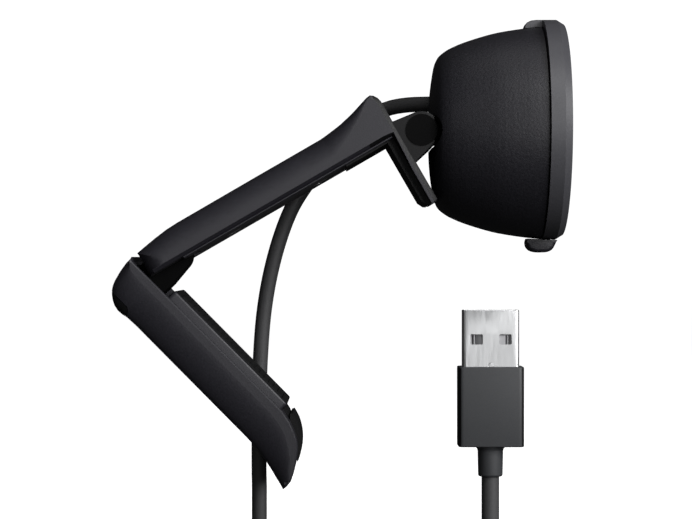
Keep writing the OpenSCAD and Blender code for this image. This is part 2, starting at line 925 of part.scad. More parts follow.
usb_sheet = 0.35;
window_w = 2.65;
window_h = 2.15;
window_off = 3.05;
window_z = plug_tip_z - 6.2;
module plug_shell() {
  color(steel)
    difference() {
      block([plug_x - usb_w / 2, plug_y - usb_t / 2, body_high - 6], [plug_x + usb_w / 2, plug_y + usb_t / 2, plug_tip_z]);
      block([plug_x - usb_w / 2 + usb_sheet, plug_y - usb_t / 2 + usb_sheet, body_high - 5.6],
        [plug_x + usb_w / 2 - usb_sheet, plug_y + usb_t / 2 - usb_sheet, plug_tip_z + 1]);
      for (s = [-1, 1])
        block([plug_x + s * window_off - window_w / 2, plug_y - usb_t, window_z - window_h / 2],
          [plug_x + s * window_off + window_w / 2, plug_y + usb_t, window_z + window_h / 2]);
    }
}

tongue_t = 1.84;
tongue_y = plug_y - usb_t / 2 + usb_sheet + tongue_t;
module plug_tongue() {
  color([0.9, 0.9, 0.88])
    block([plug_x - usb_w / 2 + usb_sheet, plug_y - usb_t / 2 + usb_sheet, body_high - 5.6],
      [plug_x + usb_w / 2 - usb_sheet, tongue_y, plug_tip_z - 0.5]);
}

contact_pitch = [-3.5, -1, 1, 3.5];
module plug_contacts() {
  color([0.85, 0.7, 0.35])
    for (x = contact_pitch)
      block([plug_x + x - 0.5, tongue_y, body_high], [plug_x + x + 0.5, tongue_y + 0.2, plug_tip_z - 1.2]);
}

// ---- nodes ----

head_shell();
tilt_knuckle();
front_ring();
face_plate();
lens_window();
lens_barrel();
lens_glass();
lens_holder();
image_sensor();
main_board();
board_screws();
chassis();
board_connector();
inner_lead();
microphones();
status_led();
light_pipe();
shutter_pivot();
cord_grommet();
shutter_blade();
clip_bracket();
arm_base();
arm_stiffener();
base_screws();
arm_pad();
lip_pad();
tilt_pin();
tilt_caps();
friction_washers();
leg_pin();
leg_pin_plug();
leg_shell();
leg_lug();
lug_screws();
leg_block();
leg_pad();
foot_neck();
foot_pad();
heel_pad();
cord();
cord_hank();
cord_ties();
plug_lead();
plug_relief();
plug_body();
plug_shell();
plug_tongue();
plug_contacts();
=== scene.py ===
"""Looks for the clip-on webcam. Metres, in the frame of part.scad: +X the way the lens looks, +Z up."""
import json
import math

import bmesh
import bpy
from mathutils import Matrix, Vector


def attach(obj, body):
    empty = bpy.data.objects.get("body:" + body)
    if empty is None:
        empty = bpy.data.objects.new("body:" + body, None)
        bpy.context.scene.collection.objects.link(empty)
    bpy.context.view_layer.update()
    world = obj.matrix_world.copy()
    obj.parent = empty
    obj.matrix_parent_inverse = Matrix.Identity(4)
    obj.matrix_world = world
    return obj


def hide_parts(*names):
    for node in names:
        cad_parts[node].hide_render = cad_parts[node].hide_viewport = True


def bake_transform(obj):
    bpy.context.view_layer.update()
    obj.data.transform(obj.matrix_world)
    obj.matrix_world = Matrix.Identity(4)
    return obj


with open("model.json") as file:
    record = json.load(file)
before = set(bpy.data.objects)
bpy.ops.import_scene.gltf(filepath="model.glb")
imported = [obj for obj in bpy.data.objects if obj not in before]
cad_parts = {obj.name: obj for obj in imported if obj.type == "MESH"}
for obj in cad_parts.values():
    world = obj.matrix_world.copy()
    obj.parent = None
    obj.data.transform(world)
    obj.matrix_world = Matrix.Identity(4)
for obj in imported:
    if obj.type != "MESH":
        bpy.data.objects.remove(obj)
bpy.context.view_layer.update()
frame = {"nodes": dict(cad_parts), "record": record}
nodes = frame["nodes"]
MM = 0.001

# ---- camera ----

FOCAL_MM = 108.2
SENSOR_MM = 36
FAR_CLIP = 20
CAMERA_AT = (-0.00447, -0.5, -0.0242)
lens = bpy.data.cameras.new("camera")
lens.lens = FOCAL_MM
lens.sensor_width = SENSOR_MM
lens.clip_end = FAR_CLIP
camera = bpy.data.objects.new("camera", lens)
camera.location = CAMERA_AT
camera.rotation_euler = (math.pi / 2, 0, 0)
bpy.context.scene.collection.objects.link(camera)
bpy.context.scene.camera = camera

# ---- mesh helpers ----

CRISP_ANGLE = math.radians(32)
BEVEL_SEGMENTS = 2
BEVEL_ANGLE = math.radians(30)
MITRE_MOST = 0.45
SAME_PLACE = 1e-6


def new_mesh(name, verts, faces):
    mesh = bpy.data.meshes.new(name)
    mesh.from_pydata([tuple(v) for v in verts], [], faces)
    mesh.validate()
    mesh.update()
    for face in mesh.polygons:
        face.use_smooth = True
    made = bpy.data.objects.new(name, mesh)
    bpy.context.scene.collection.objects.link(made)
    return made


def loft(name, rings, closed=False, caps=True):
    """A skin over rings of points of equal count.

    closed joins the last ring to the first. caps closes the two ends of an open skin."""
    n = len(rings[0])
    verts = [p for ring in rings for p in ring]
    last = len(rings) if closed else len(rings) - 1
    faces = []
    for i in range(last):
        a, b = i * n, (i + 1) % len(rings) * n
        faces += [(a + k, b + k, b + (k + 1) % n, a + (k + 1) % n) for k in range(n)]
    if caps and not closed:
        faces += [tuple(range(n)), tuple((len(rings) - 1) * n + k for k in reversed(range(n)))]
    made = new_mesh(name, verts, faces)
    bm = bmesh.new()
    bm.from_mesh(made.data)
    bmesh.ops.recalc_face_normals(bm, faces=bm.faces)
    bm.to_mesh(made.data)
    bm.free()
    return made


def lathe(name, profile, place, sides=64, closed=True):
    """(radius, along) points turned about an axis. place(radius * cos, radius * sin, along) gives the point."""
    rings = []
    for r, h in profile:
        rings.append([place(r * math.cos(t), r * math.sin(t), h)
                      for t in (2 * math.pi * k / sides for k in range(sides))])
    return loft(name, rings, closed=closed, caps=not closed)


def bevel(obj, width):
    mod = obj.modifiers.new("bevel", "BEVEL")
    mod.width = width
    mod.segments = BEVEL_SEGMENTS
    mod.limit_method = "ANGLE"
    mod.angle_limit = BEVEL_ANGLE
    mod.use_clamp_overlap = True
    mod.harden_normals = False


def apply_modifiers(obj):
    depsgraph = bpy.context.evaluated_depsgraph_get()
    mesh = bpy.data.meshes.new_from_object(obj.evaluated_get(depsgraph))
    obj.modifiers.clear()
    obj.data = mesh


def pillow(name, outline, place, w0, w1, levels, soft=True, power=2.0):
    """A plate with eased edges. outline holds (u, v, round_in, round_deep, cut_in, cut_deep) going round.

    The face at each end is drawn in by round_in on an ellipse, or another curve at another power, and by
    cut_in on a straight chamfer. A seventh value is the spot that the rounding draws its point to.
    levels are the depths of the rings, and place(u, v, w) gives the point."""
    n = len(outline)
    flat = [Vector((q[0], q[1])) for q in outline]
    area = sum(flat[i - 1].x * flat[i].y - flat[i].x * flat[i - 1].y for i in range(n))
    turn = 1 if area > 0 else -1
    inward = []
    for i in range(n):
        before = (flat[i] - flat[i - 1]).normalized()
        after = (flat[(i + 1) % n] - flat[i]).normalized()
        n0, n1 = Vector((-before.y, before.x)) * turn, Vector((-after.y, after.x)) * turn
        mid = (n0 + n1).normalized()
        inward.append(mid / max(mid.dot(n1), MITRE_MOST))

    def ring(depth, w):
        points = []
        for q, p, d in zip(outline, flat, inward):
            pull = 0.0
            if q[2] and depth < q[3]:
                pull += q[2] * (1 - (1 - (1 - depth / q[3]) ** power) ** (1 / power))
            if q[4] and depth < q[5]:
                pull += q[4] * (1 - depth / q[5])
            way = d if len(q) < 7 else (Vector(q[6]) - p) / q[2]
            spot = p + way * pull
            points.append(place(spot.x, spot.y, w))
        return points

    rings = [ring(t, w0 + t) for t in levels] + [ring(t, w1 - t) for t in reversed(levels)]
    made = loft(name, rings)
    if soft:
        crisp(made)
    return made


def crisp(obj):
    """Smooth shading, but with a crisp edge wherever two faces meet more sharply than CRISP_ANGLE."""
    obj.data.set_sharp_from_angle(angle=CRISP_ANGLE)
    return obj


def rim_edge(obj, half):
    """A crisp line round the flat faces at y = half and y = -half, in millimetres."""
    verts = obj.data.vertices
    for edge in obj.data.edges:
        if all(abs(abs(verts[i].co.y) - half * MM) < SAME_PLACE for i in edge.vertices):
            edge.use_edge_sharp = True


def prism(name, outline, place, w0, w1):
    """A plain plate with square edges, for cuts and flat parts."""
    return pillow(name, [(u, v, 0, 0, 0, 0) for u, v in outline], place, w0, w1, [0.0], soft=False)


def carve(obj, how, *tools):
    """Adds, cuts or keeps the tools' shapes, and removes the tools."""
    for tool in tools:
        mod = obj.modifiers.new(how, "BOOLEAN")
        mod.operation = how
        mod.solver = "EXACT"
        mod.object = tool
        bpy.context.view_layer.update()
        apply_modifiers(obj)
        bpy.data.objects.remove(tool)
    for face in obj.data.polygons:
        face.use_smooth = True
    crisp(obj)


def arc(cx, cy, r, a0, a1, steps):
    return [(cx + r * math.cos(math.radians(a0 + (a1 - a0) * k / steps)),
             cy + r * math.sin(math.radians(a0 + (a1 - a0) * k / steps))) for k in range(steps + 1)]


def flat_run(points, steps):
    """smooth_run in two dimensions."""
    return [(q.x, q.y) for q in smooth_run([(u, v, 0) for u, v in points], steps)]


def between(a, b, c, d, t):
    """The point at t from b to c on a smooth curve through a, b, c and d."""
    return 0.5 * (2 * b + (c - a) * t + (2 * a - 5 * b + 4 * c - d) * t ** 2 + (3 * b - a - 3 * c + d) * t ** 3)


def smooth_run(points, steps):
    """A smooth curve through the points, with steps pieces from each to the next."""
    p = [Vector(q) for q in points]
    run = [between(p[max(i - 1, 0)], p[i], p[i + 1], p[min(i + 2, len(p) - 1)], k / steps)
           for i in range(len(p) - 1) for k in range(steps)]
    return run + [p[-1]]


def resampled(points, step):
    """The same line with its points one step apart."""
    run, left = [points[0].copy()], step
    for a, b in zip(points, points[1:]):
        gap = (b - a).length
        at = 0.0
        while gap - at >= left:
            at += left
            run.append(a.lerp(b, at / gap))
            left = step
        left -= gap - at
    if (points[-1] - run[-1]).length > 0.3 * step:
        run.append(points[-1].copy())
    return run


def tube(name, line, radius, sides=16):
    """A round tube on a line, with its sides carried along so that they don't twist."""
    rings = []
    side = Vector((0.3, 1, 0))
    for i, p in enumerate(line):
        ahead = (line[min(i + 1, len(line) - 1)] - line[max(i - 1, 0)]).normalized()
        side = (side - ahead * side.dot(ahead)).normalized()
        up = ahead.cross(side)
        rings.append([p + radius * (math.cos(t) * side + math.sin(t) * up)
                      for t in (2 * math.pi * k / sides for k in range(sides))])
    return loft(name, rings)


# ---- the lead: its route, in metres, as in part.scad ----

CORD_D = 0.0038
FLOOR_Z = -0.104
EXIT = (0.0156, 0.013, 0.0141)
PLUG = Vector((0.0262, -0.058, -0.0349))
HANK_AT = Vector((-0.0011, -0.0173, FLOOR_Z))
HANK_TURN = math.radians(-56.2)
HANK_RUN = 0.074
HANK_R = 0.012
DROP_IN = 0.008
DROP_R = 3 * CORD_D
FALL = [
    (0.0183, 0.0117, 0.0141), EXIT, (0.0111, 0.0151, 0.0141), (0.0065, 0.0173, 0.0135),
    (0.0028, 0.019, 0.0119), (-0.0018, 0.0202, 0.0086), (-0.0075, 0.0206, 0.0032),
    (-0.0136, 0.0204, -0.0044), (-0.0185, 0.02, -0.0124), (-0.0224, 0.02, -0.0238),
    (-0.0249, 0.02, -0.0368), (-0.026, 0.02, -0.0518), (-0.0262, 0.02, -0.066), (-0.0262, 0.02, -0.08)]


def hank(x, y, z):
    c, s = math.cos(HANK_TURN), math.sin(HANK_TURN)
    return HANK_AT + Vector((x * c - y * s, x * s + y * c, z))


def eased(t):
    t = min(max(t, 0.0), 1.0)
    return t * t * (3 - 2 * t)


HALF = HANK_RUN / 2
LAYER = [CORD_D * (k + 0.5) for k in range(3)]
LANE = [HANK_R + CORD_D * k for k in range(3)]
SHIFT_FROM, SHIFT_TO = 0.58, 0.95
RUN_POINTS = 24
TURN_POINTS = 14
LEAD_IN_POINTS = 26
LEAD_IN_EASE = 0.040
BEND_STEP = 9
ROUTE_STEP = 0.0016
RISE_R = 0.01345
RISE_X = HALF - 0.00557
RISE_EARLY = 0.04


def run(side, lane, layer, out=0, lift=0):
    """One straight of the hank. Late in the run, out moves it a lane sideways and lift a layer up."""
    line = []
    for i in range(RUN_POINTS):
        t = i / RUN_POINTS
        roll = eased((t - SHIFT_FROM) / (SHIFT_TO - SHIFT_FROM)) * math.pi / 2
        y = LANE[lane] + out * CORD_D * (1 - math.cos(roll))
        z = LAYER[layer] + lift * CORD_D * math.sin(roll)
        x = -HALF + HANK_RUN * t
        line.append(hank(x * side, y * side, z))
    return line


def end_turn(side, lane, layer):
    """A half turn: side 1 is the end that the B side runs to."""
    line = []
    for i in range(TURN_POINTS):
        a = math.pi / 2 - math.pi * i / TURN_POINTS
        line.append(hank(side * (HALF + LANE[lane] * math.cos(a)), side * LANE[lane] * math.sin(a),
                         LAYER[layer]))
    return line


B, A = 1, -1
route = smooth_run(FALL, 4)[:-1]
route += [hank(-HALF - DROP_IN, 0, h - FLOOR_Z) for h in (-0.0805, -0.084, -0.0875)]
for i in range(10):
    a = math.radians(BEND_STEP * i)
    route.append(hank(-HALF - DROP_IN + DROP_R * (1 - math.cos(a)), 0,
                      LAYER[0] + DROP_R * (1 - math.sin(a))))
joins = -HALF - DROP_IN + DROP_R
for i in range(LEAD_IN_POINTS):
    x = joins + (HALF - joins) * i / LEAD_IN_POINTS
    route.append(hank(x, LANE[0] * eased((x - joins) / LEAD_IN_EASE), LAYER[0]))
route += end_turn(B, 0, 0) + run(A, 0, 0, out=1) + end_turn(A, 1, 0)
route += run(B, 1, 0) + end_turn(B, 1, 0) + run(A, 1, 0, out=1) + end_turn(A, 2, 0)
route += run(B, 2, 0) + end_turn(B, 2, 0) + run(A, 2, 0, lift=1) + end_turn(A, 2, 1)
route += run(B, 2, 1, out=-1) + end_turn(B, 1, 1) + run(A, 1, 1) + end_turn(A, 1, 1)
route += run(B, 1, 1, out=-1) + end_turn(B, 0, 1) + run(A, 0, 1) + end_turn(A, 0, 1)
for i in range(RUN_POINTS):
    t = i / RUN_POINTS
    roll = eased((t - SHIFT_FROM + RISE_EARLY) / (SHIFT_TO - SHIFT_FROM)) * math.pi / 2
    route.append(hank(-HALF + (RISE_X + HALF) * t, LANE[0], LAYER[1] + CORD_D * math.sin(roll)))
for i in range(6):
    a = math.radians(BEND_STEP * i)
    route.append(hank(RISE_X + RISE_R * math.sin(a), LANE[0] - RISE_R * (1 - math.cos(a)), LAYER[2]))
for i in range(1, 11):
    a = math.radians(BEND_STEP * i)
    back = DROP_R * (1 - math.sin(a)) * math.sqrt(0.5)
    route.append(hank(HALF + HANK_R - back, back, LAYER[2] + DROP_R * (1 - math.cos(a))))
route += [Vector((PLUG.x, PLUG.y, z)) for z in (-0.079, -0.075, -0.071, -0.067)]
route = resampled(smooth_run(route, 3), ROUTE_STEP)

cord = tube("lead", route, CORD_D / 2)
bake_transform(cord)
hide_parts("cord", "cord_hank", "plug_lead")

# ---- ties round the hank ----


def strap(name, side):
    """A soft strap round one side of the hank: a rounded loop in the hank's Y and Z."""
    inner, outer = HANK_R - CORD_D / 2, HANK_R + 2.5 * CORD_D
    low, high, corner, thick = 0.0, 2 * CORD_D, 0.0015, 0.0008
    half = 0.004

    def loop(grow):
        line = []
        for cy, cz, a0 in ((outer, high, 0), (inner, high, 90), (inner, low, 180), (outer, low, 270)):
            sy = -1 if cy > (inner + outer) / 2 else 1
            sz = -1 if cz > corner else 1
            for k in range(6):
                a = math.radians(a0 + 18 * k)
                line.append((cy + sy * corner + (corner + grow) * math.cos(a),
                             cz + sz * corner + (corner + grow) * math.sin(a)))
        return line

    ins, outs = loop(0.0), loop(thick)
    edge = thick * 0.35
    rings = []
    for (y0, z0), (y1, z1) in zip(ins, outs):
        uy, uz = (y1 - y0) / thick, (z1 - z0) / thick
        ring = []
        for x, depth in ((-half, edge), (-half, thick - edge), (-half + edge, thick), (half - edge, thick),
                         (half, thick - edge), (half, edge), (half - edge, 0), (-half + edge, 0)):
            ring.append(hank(x * side, (y0 + uy * depth) * side, z0 + uz * depth))
        rings.append(ring)
    return loft(name, rings, closed=True)


ties = [strap("tie_b", 1), strap("tie_a", -1)]
for tie in ties:
    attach(tie, "clip")
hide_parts("cord_ties")

# ---- the plug's relief ----


def about_plug(x, y, z):
    return (PLUG.x + x, PLUG.y + y, z)


RELIEF_TOP, RELIEF_LOW = -0.0636, -0.0702
relief = lathe("relief", [
    (0.00200, RELIEF_LOW + 0.0006), (0.00215, RELIEF_LOW), (0.00240, RELIEF_LOW),
    (0.00258, RELIEF_LOW + 0.00018), (0.00262, RELIEF_LOW + 0.0005), (0.00270, -0.0660), (0.00272, -0.0648),
    (0.00285, -0.0643), (0.0031, -0.0641), (0.0031, RELIEF_TOP), (0.00200, RELIEF_TOP)], about_plug, sides=48)
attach(relief, "clip")
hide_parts("plug_relief")

# ---- the clip: arm, lip and ears as one moulding (sizes in millimetres from here to the stage) ----

ARM_RISE = math.radians(30)
HINGE = (-51.017, 2.435)
HINGE_R = 6.9
PIN = (14.388, -1.379)
EAR_R = 4.4
EAR_IN, EAR_OUT = 10.0, 15.8
LIP_FACE = 9.5
FORK_HALF = 6.3
FORK_END = -45.017
CLIP_HALF = 16.2


def clip_at(along, up, y):
    c, s = math.cos(ARM_RISE), math.sin(ARM_RISE)
    return Vector(((along * c - up * s) * MM, y * MM, (along * s + up * c) * MM))


def touch(px, py, cx, cy, r, side):
    """The angle on a circle where a straight line from (px, py) just touches it."""
    away = math.hypot(px - cx, py - cy)
    return math.degrees(math.atan2(py - cy, px - cx)) + side * math.degrees(math.acos(r / away))


TOP_ROUND, TOP_DEEP = 5.5, 5.8
FLARE_ROUND, FLARE_DEEP = 0.5, 1.2
FLARE_AT, FLARE_OVER = 6.5, 14
LEVELS = [0.0, 0.03, 0.1, 0.2, 0.35, 0.55, 0.8, 1.1, 1.5, 2.1, 3.0, 4.2, 5.8]
moulding = [(u, v, 5.0, TOP_DEEP, 0, 0, (-53.2 + 0.03 * k, 1.8 + 0.09 * k))
            for k, (u, v) in enumerate(arc(*HINGE, HINGE_R, 193.3, 162, 8))]
moulding += [(u, v, 5.0, TOP_DEEP, 0, 0, spot) for u, v, spot in (
    (-57.8, 7.15, (-52.7, 2.85)), (-55.2, 7.62, (-52.1, 2.9)), (-52.4, 8.1, (-51.5, 2.75)))]
moulding += [(u, v, TOP_ROUND, TOP_DEEP, 0, 0) for u, v in (
    (-49, 8.55), (-46, 8.68), (-36, 8.71), (-24, 8.74), (-14, 8.74))]
flare = flat_run([(-7.1, 8.75), (-2.4, 9.2), (1.7, 10.0), (5.3, 11.05), (7, 11.55)], 4)
for u, v in flare:
    ease = max(0.0, min(1.0, (FLARE_AT - u) / FLARE_OVER))
    moulding.append((u, v, FLARE_ROUND + (TOP_ROUND - FLARE_ROUND) * ease,
                     FLARE_DEEP + (TOP_DEEP - FLARE_DEEP) * ease, 0, 0))
moulding += [(7.9, 11.65, 0.35, 0.8, 0.2, 0.36), (8.6, 11.15, 0.2, 0.5, 0.6, 0.5),
             (9.2, 10.25, 0, 0, 0.9, 0.5)]
moulding += [(LIP_FACE, v, 0, 0, 1.0, 0.5) for v in (9.2, 4, -4, -10)]
moulding += [(LIP_FACE, -17.1, 0, 0, 0.9, 0.5), (8.9, -17.6, 0.2, 0.4, 0.3, 0.5), (8.1, -17.6, 0.2, 0.4, 0, 0),
             (7.8, -17.3, 0.15, 0.3, 0, 0), (7.8, -8, 0.15, 0.3, 0, 0), (7.8, 0.85, 0.15, 0.3, 0.5, 1.0)]
moulding += [(u, 0.85, 0, 0, 0.9, 1.5) for u in (6, 2, -8, -20, -32, -44, -52, -56.2)]
clip = pillow("clip_moulding", moulding, clip_at, -CLIP_HALF, CLIP_HALF, LEVELS)

EAR_HIGH, EAR_LOW = 3.7, -7.0
EAR_SUNK = 9.0
EAR_EDGE = 0.35
ear_line = [(EAR_SUNK, EAR_LOW), (LIP_FACE, EAR_LOW)]
ear_line += arc(*PIN, EAR_R, touch(LIP_FACE, EAR_LOW, *PIN, EAR_R, 1),
                touch(LIP_FACE, EAR_HIGH, *PIN, EAR_R, -1), 28)
ear_line += [(LIP_FACE, EAR_HIGH), (EAR_SUNK, EAR_HIGH)]
ear_shape = [(u, v, EAR_EDGE, EAR_EDGE, 0, 0) if u > LIP_FACE + 0.1 else (u, v, 0, 0, 0, 0)
             for u, v in ear_line]
ears = []
for side in (-1, 1):
    w0, w1 = sorted((side * EAR_IN, side * EAR_OUT))
    ears.append(pillow(f"ear_{side}", ear_shape, clip_at, w0, w1, [0.0, 0.04, 0.1, 0.2, EAR_EDGE]))

# the back of the head's shell as (radius, along), and the room that the ears leave for it
SHELL_Z = 6.15
SHELL_GAP = 0.32
SHELL_BACK_OFF = 0.45
HOLLOW_HALF = 13.6
SHELL = flat_run([(9, 15.6), (11, 15.8), (13.2, 16.1), (16, 16.6), (17.6, 17.25), (18.6, 18), (19.6, 19.3),
                  (20.4, 20.7), (21.6, 23.5), (23, 27.8), (24.1, 32.1), (25, 37.8), (25.4, 42)], 3)


def about_shell(x, y, along):
    return Vector((along * MM, x * MM, (y + SHELL_Z) * MM))


room = lathe("room", [(0.05, 15.15)] + [(r + SHELL_GAP, x - SHELL_BACK_OFF) for r, x in SHELL] + [(0.05, 42)],
             about_shell, sides=96, closed=False)
slot = prism("slot", [(-80, -20), (FORK_END, -20), (FORK_END, 20), (-80, 20)], clip_at, -FORK_HALF, FORK_HALF)
hollow = prism("hollow", [(-43, 0.2), (5, 0.2), (5, 5.0), (-43, 5.0)], clip_at, -HOLLOW_HALF, HOLLOW_HALF)
carve(clip, "UNION", *ears)
carve(clip, "DIFFERENCE", room, slot, hollow)
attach(clip, "clip")
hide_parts("clip_bracket")

COVER_HALF = 15.45
cover_line = [(-48.6, 0.45), (-20, 0.45), (7.7, 0.45), (7.7, 0.9), (-20, 0.9), (-48.6, 0.9)]
base = pillow("arm_cover", [(u, v, 0, 0, 0.16, 0.2) for u, v in cover_line], clip_at, -COVER_HALF, COVER_HALF,
              [0.0, 0.2])
carve(base, "DIFFERENCE", prism("fork", [(-60, -2), (FORK_END, -2), (FORK_END, 4), (-60, 4)], clip_at,
                                -FORK_HALF, FORK_HALF))
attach(base, "clip")
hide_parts("arm_base")

# screw heads in the arm's underside: rings of (radius, height, 1 where the recess is a star)
SCREW_HEAD = ((2.1, 0.75, 0), (2.1, 0.5, 0), (1.95, 0.4, 0), (1.45, 0.36, 0), (1.0, 0.38, 1), (0.9, 0.74, 1))
SCREW_SIDES = 48
SCREWS_ALONG = (-36, -12)
screws = []
for k, along in enumerate(SCREWS_ALONG):
    rings = []
    for r, up, star in SCREW_HEAD:
        ring = []
        for i in range(SCREW_SIDES):
            a = 2 * math.pi * i / SCREW_SIDES
            reach = r * (0.36 + 0.64 * abs(math.cos(2 * a)) ** 5) if star else r
            ring.append(clip_at(along + reach * math.cos(a), up, reach * math.sin(a)))
        rings.append(ring)
    screw = crisp(loft(f"cover_screw_{k}", rings))
    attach(screw, "clip")
    screws.append(screw)
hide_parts("base_screws")

# ---- the leg: shell with its heel piece, and the block in it ----

LEG_AT = (-45.4, -23.4)
LEG_FALL = math.radians(45.3)
LEG_HALF = 16.0


def leg_at(along, out, y):
    c, s = math.cos(LEG_FALL), math.sin(LEG_FALL)
    return Vector(((LEG_AT[0] + along * c - out * s) * MM, y * MM, (LEG_AT[1] - along * s - out * c) * MM))


RIM_IN, RIM_DEEP = 0.25, 0.25
OUT_ROUND, OUT_DEEP = 8.2, 3.4
LEG_POWER = 1.5
leg_line = [(-6.3, 6.6, 0.5, 1.2, 0.1, 0.2), (-5.3, 7.3, 0, 0, RIM_IN, RIM_DEEP)]
leg_line += [(u, 7.3 - 0.35 * (u + 5.3) / 49.3, 0, 0, RIM_IN, RIM_DEEP) for u in (0, 8, 18, 28, 38, 44)]
leg_line += [(u, v, 0, 0, RIM_IN, RIM_DEEP)
             for u, v in flat_run([(47.3, 7.6), (50.4, 8.9), (52.8, 10.6), (54.6, 12.8), (56.1, 15)], 4)]
leg_line += [(57.1, 17, 0.3, 0.8, 0.2, 0.4), (57.3, 18.6, 0.7, 1.4, 0, 0), (57.2, 19.75, 1.2, 2.0, 0, 0),
             (56.3, 19.5, 2.2, 2.6, 0, 0), (54, 19.0, 3.8, 3.0, 0, 0), (52, 18.5, 5.2, 3.3, 0, 0),
             (49.6, 18, 6.4, 3.4, 0, 0), (47.5, 17.65, 7.3, OUT_DEEP, 0, 0), (45, 17.4, 7.9, OUT_DEEP, 0, 0)]
leg_line += [(u, 17.35, OUT_ROUND, OUT_DEEP, 0, 0) for u in (42, 34, 24, 14, 6)]
leg_line += [(u, v, 8.0, OUT_DEEP, 0, 0, spot) for u, v, spot in (
    (2.9, 17.5, (2.6, 9.22)), (1.6, 17.8, (1.4, 9.2)), (0.2, 17.9, (0.3, 9.18)), (-1.2, 17.6, (-0.8, 9.16)),
    (-2.3, 17.05, (-1.7, 9.14)), (-3.2, 16.4, (-2.4, 9.12)), (-4.0, 15.7, (-3.0, 9.1)),
    (-4.7, 14.7, (-3.5, 9.05)), (-5.25, 13.4, (-4.0, 8.9)), (-5.9, 11.0, (-4.5, 8.7)),
    (-6.3, 8.6, (-4.9, 8.3)))]
LEG_LEVELS = [0.0, 0.05, 0.12, 0.25, 0.4, 0.6, 0.85, 1.15, 1.5, 1.9, 2.4, 2.9, 3.4]
leg = pillow("leg_moulding", leg_line, leg_at, -LEG_HALF, LEG_HALF, LEG_LEVELS, power=LEG_POWER)
heel = pillow("heel_piece", leg_line, leg_at, -LEG_HALF, LEG_HALF, LEG_LEVELS, power=LEG_POWER)
SEAM = [(2.3, 16.9), (1.9, 16.2), (1.1, 15.75), (-1, 15.75), (-3.3, 15.85), (-9, 15.9)]
SEAM_END = 2.35
SEAM_GAP = 0.13
seam_cut = [(u + SEAM_GAP * (u > 1), v - SEAM_GAP) for u, v in SEAM]
LEG_ROOM = 13.4
BLOCK_END = 43.9
carve(heel, "INTERSECT", prism("heel_room", [(SEAM_END, 21), *SEAM, (-9, 21)], leg_at, -20, 20))
carve(leg, "DIFFERENCE",
      prism("heel_gap", [(SEAM_END + SEAM_GAP, 22), *seam_cut, (-9, 22)], leg_at, -20, 20),
      prism("lug_room", [(-4.2, 0), (2.95, 0), (2.95, 13.6), (-4.2, 13.6)], leg_at, -LEG_ROOM, LEG_ROOM),
      prism("block_room", [(2.8, 0), (BLOCK_END, 0), (BLOCK_END, 13.3), (2.8, 13.3)], leg_at,
            -LEG_ROOM, LEG_ROOM))
rim_edge(leg, LEG_HALF)
rim_edge(clip, CLIP_HALF)
for piece, node in ((leg, "leg_shell"), (heel, "heel_pad")):
    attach(piece, "leg")
    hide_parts(node)


def leg_flat(along, y, out):
    return leg_at(along, out, y)


def rounded_box(u0, v0, u1, v1, r, pull, deep):
    """A pillow outline: a box with corners of radius r, eased all round."""
    line = []
    for cu, cv, a0 in ((u1 - r, v1 - r, 0), (u0 + r, v1 - r, 90), (u0 + r, v0 + r, 180), (u1 - r, v0 + r, 270)):
        line += [(u, v, pull, deep, 0, 0) for u, v in arc(cu, cv, r, a0, a0 + 90, 5)]
    return line


BLOCK_HALF = 13.2
INLAY_HALF, ROOM_HALF = 9.2, 9.3
GROOVE_HALF, GROOVE_WIDE = 8.4, 0.5
GROOVE_FIRST, GROOVE_PITCH, GROOVES = 10.2, 1.55, 20
block_line = rounded_box(6.3, -BLOCK_HALF, BLOCK_END, BLOCK_HALF, 1.0, 0.45, 0.5)
block = pillow("leg_cover", block_line, leg_flat, 5.05, 12.5, [0.0, 0.04, 0.12, 0.28, 0.5])
inlay_room = [(8.2, -ROOM_HALF), (42.0, -ROOM_HALF), (42.0, ROOM_HALF), (8.2, ROOM_HALF)]
carve(block, "DIFFERENCE", prism("inlay_room", inlay_room, leg_flat, 4.0, 6.2))
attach(block, "leg")
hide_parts("leg_block")
inlay = pillow("leg_inlay", rounded_box(8.3, -INLAY_HALF, 41.9, INLAY_HALF, 0.6, 0.25, 0.25), leg_flat,
               4.95, 6.15, [0.0, 0.06, 0.25])
grooves = []
for k in range(GROOVES):
    u0 = GROOVE_FIRST + GROOVE_PITCH * k
    u1 = u0 + GROOVE_WIDE
    box = [(u0, -GROOVE_HALF), (u1, -GROOVE_HALF), (u1, GROOVE_HALF), (u0, GROOVE_HALF)]
    grooves.append(prism(f"rib_{k}", box, leg_flat, 4.5, 5.2))
carve(inlay, "DIFFERENCE", *grooves)
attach(inlay, "leg")
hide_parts("leg_pad")

# ---- the lens cover: a black leaf behind the window, and the finger tab under the ring ----

RING_Z = 6.9
PIVOT_Z = 27.0
LEAF_BACK, LEAF_FRONT = 43.87, 44.55
STEM_LIFT = 0.01
PIVOT_HOLE_R = 1.26
TAB_HALF = 4.0
TAB_SOFT = 1.3
TAB_ROUND, TAB_ROUND_FROM, TAB_ROUND_OVER = 0.9, -19.6, 1.2


def about_lens(x, y, along):
    return Vector((along * MM, x * MM, (y + RING_Z) * MM))


def about_pivot(x, y, along):
    return Vector((along * MM, x * MM, (y + PIVOT_Z) * MM))


def across(y, z, x):
    return Vector((x * MM, y * MM, z * MM))


def sideways(x, z, y):
    return Vector((x * MM, y * MM, z * MM))


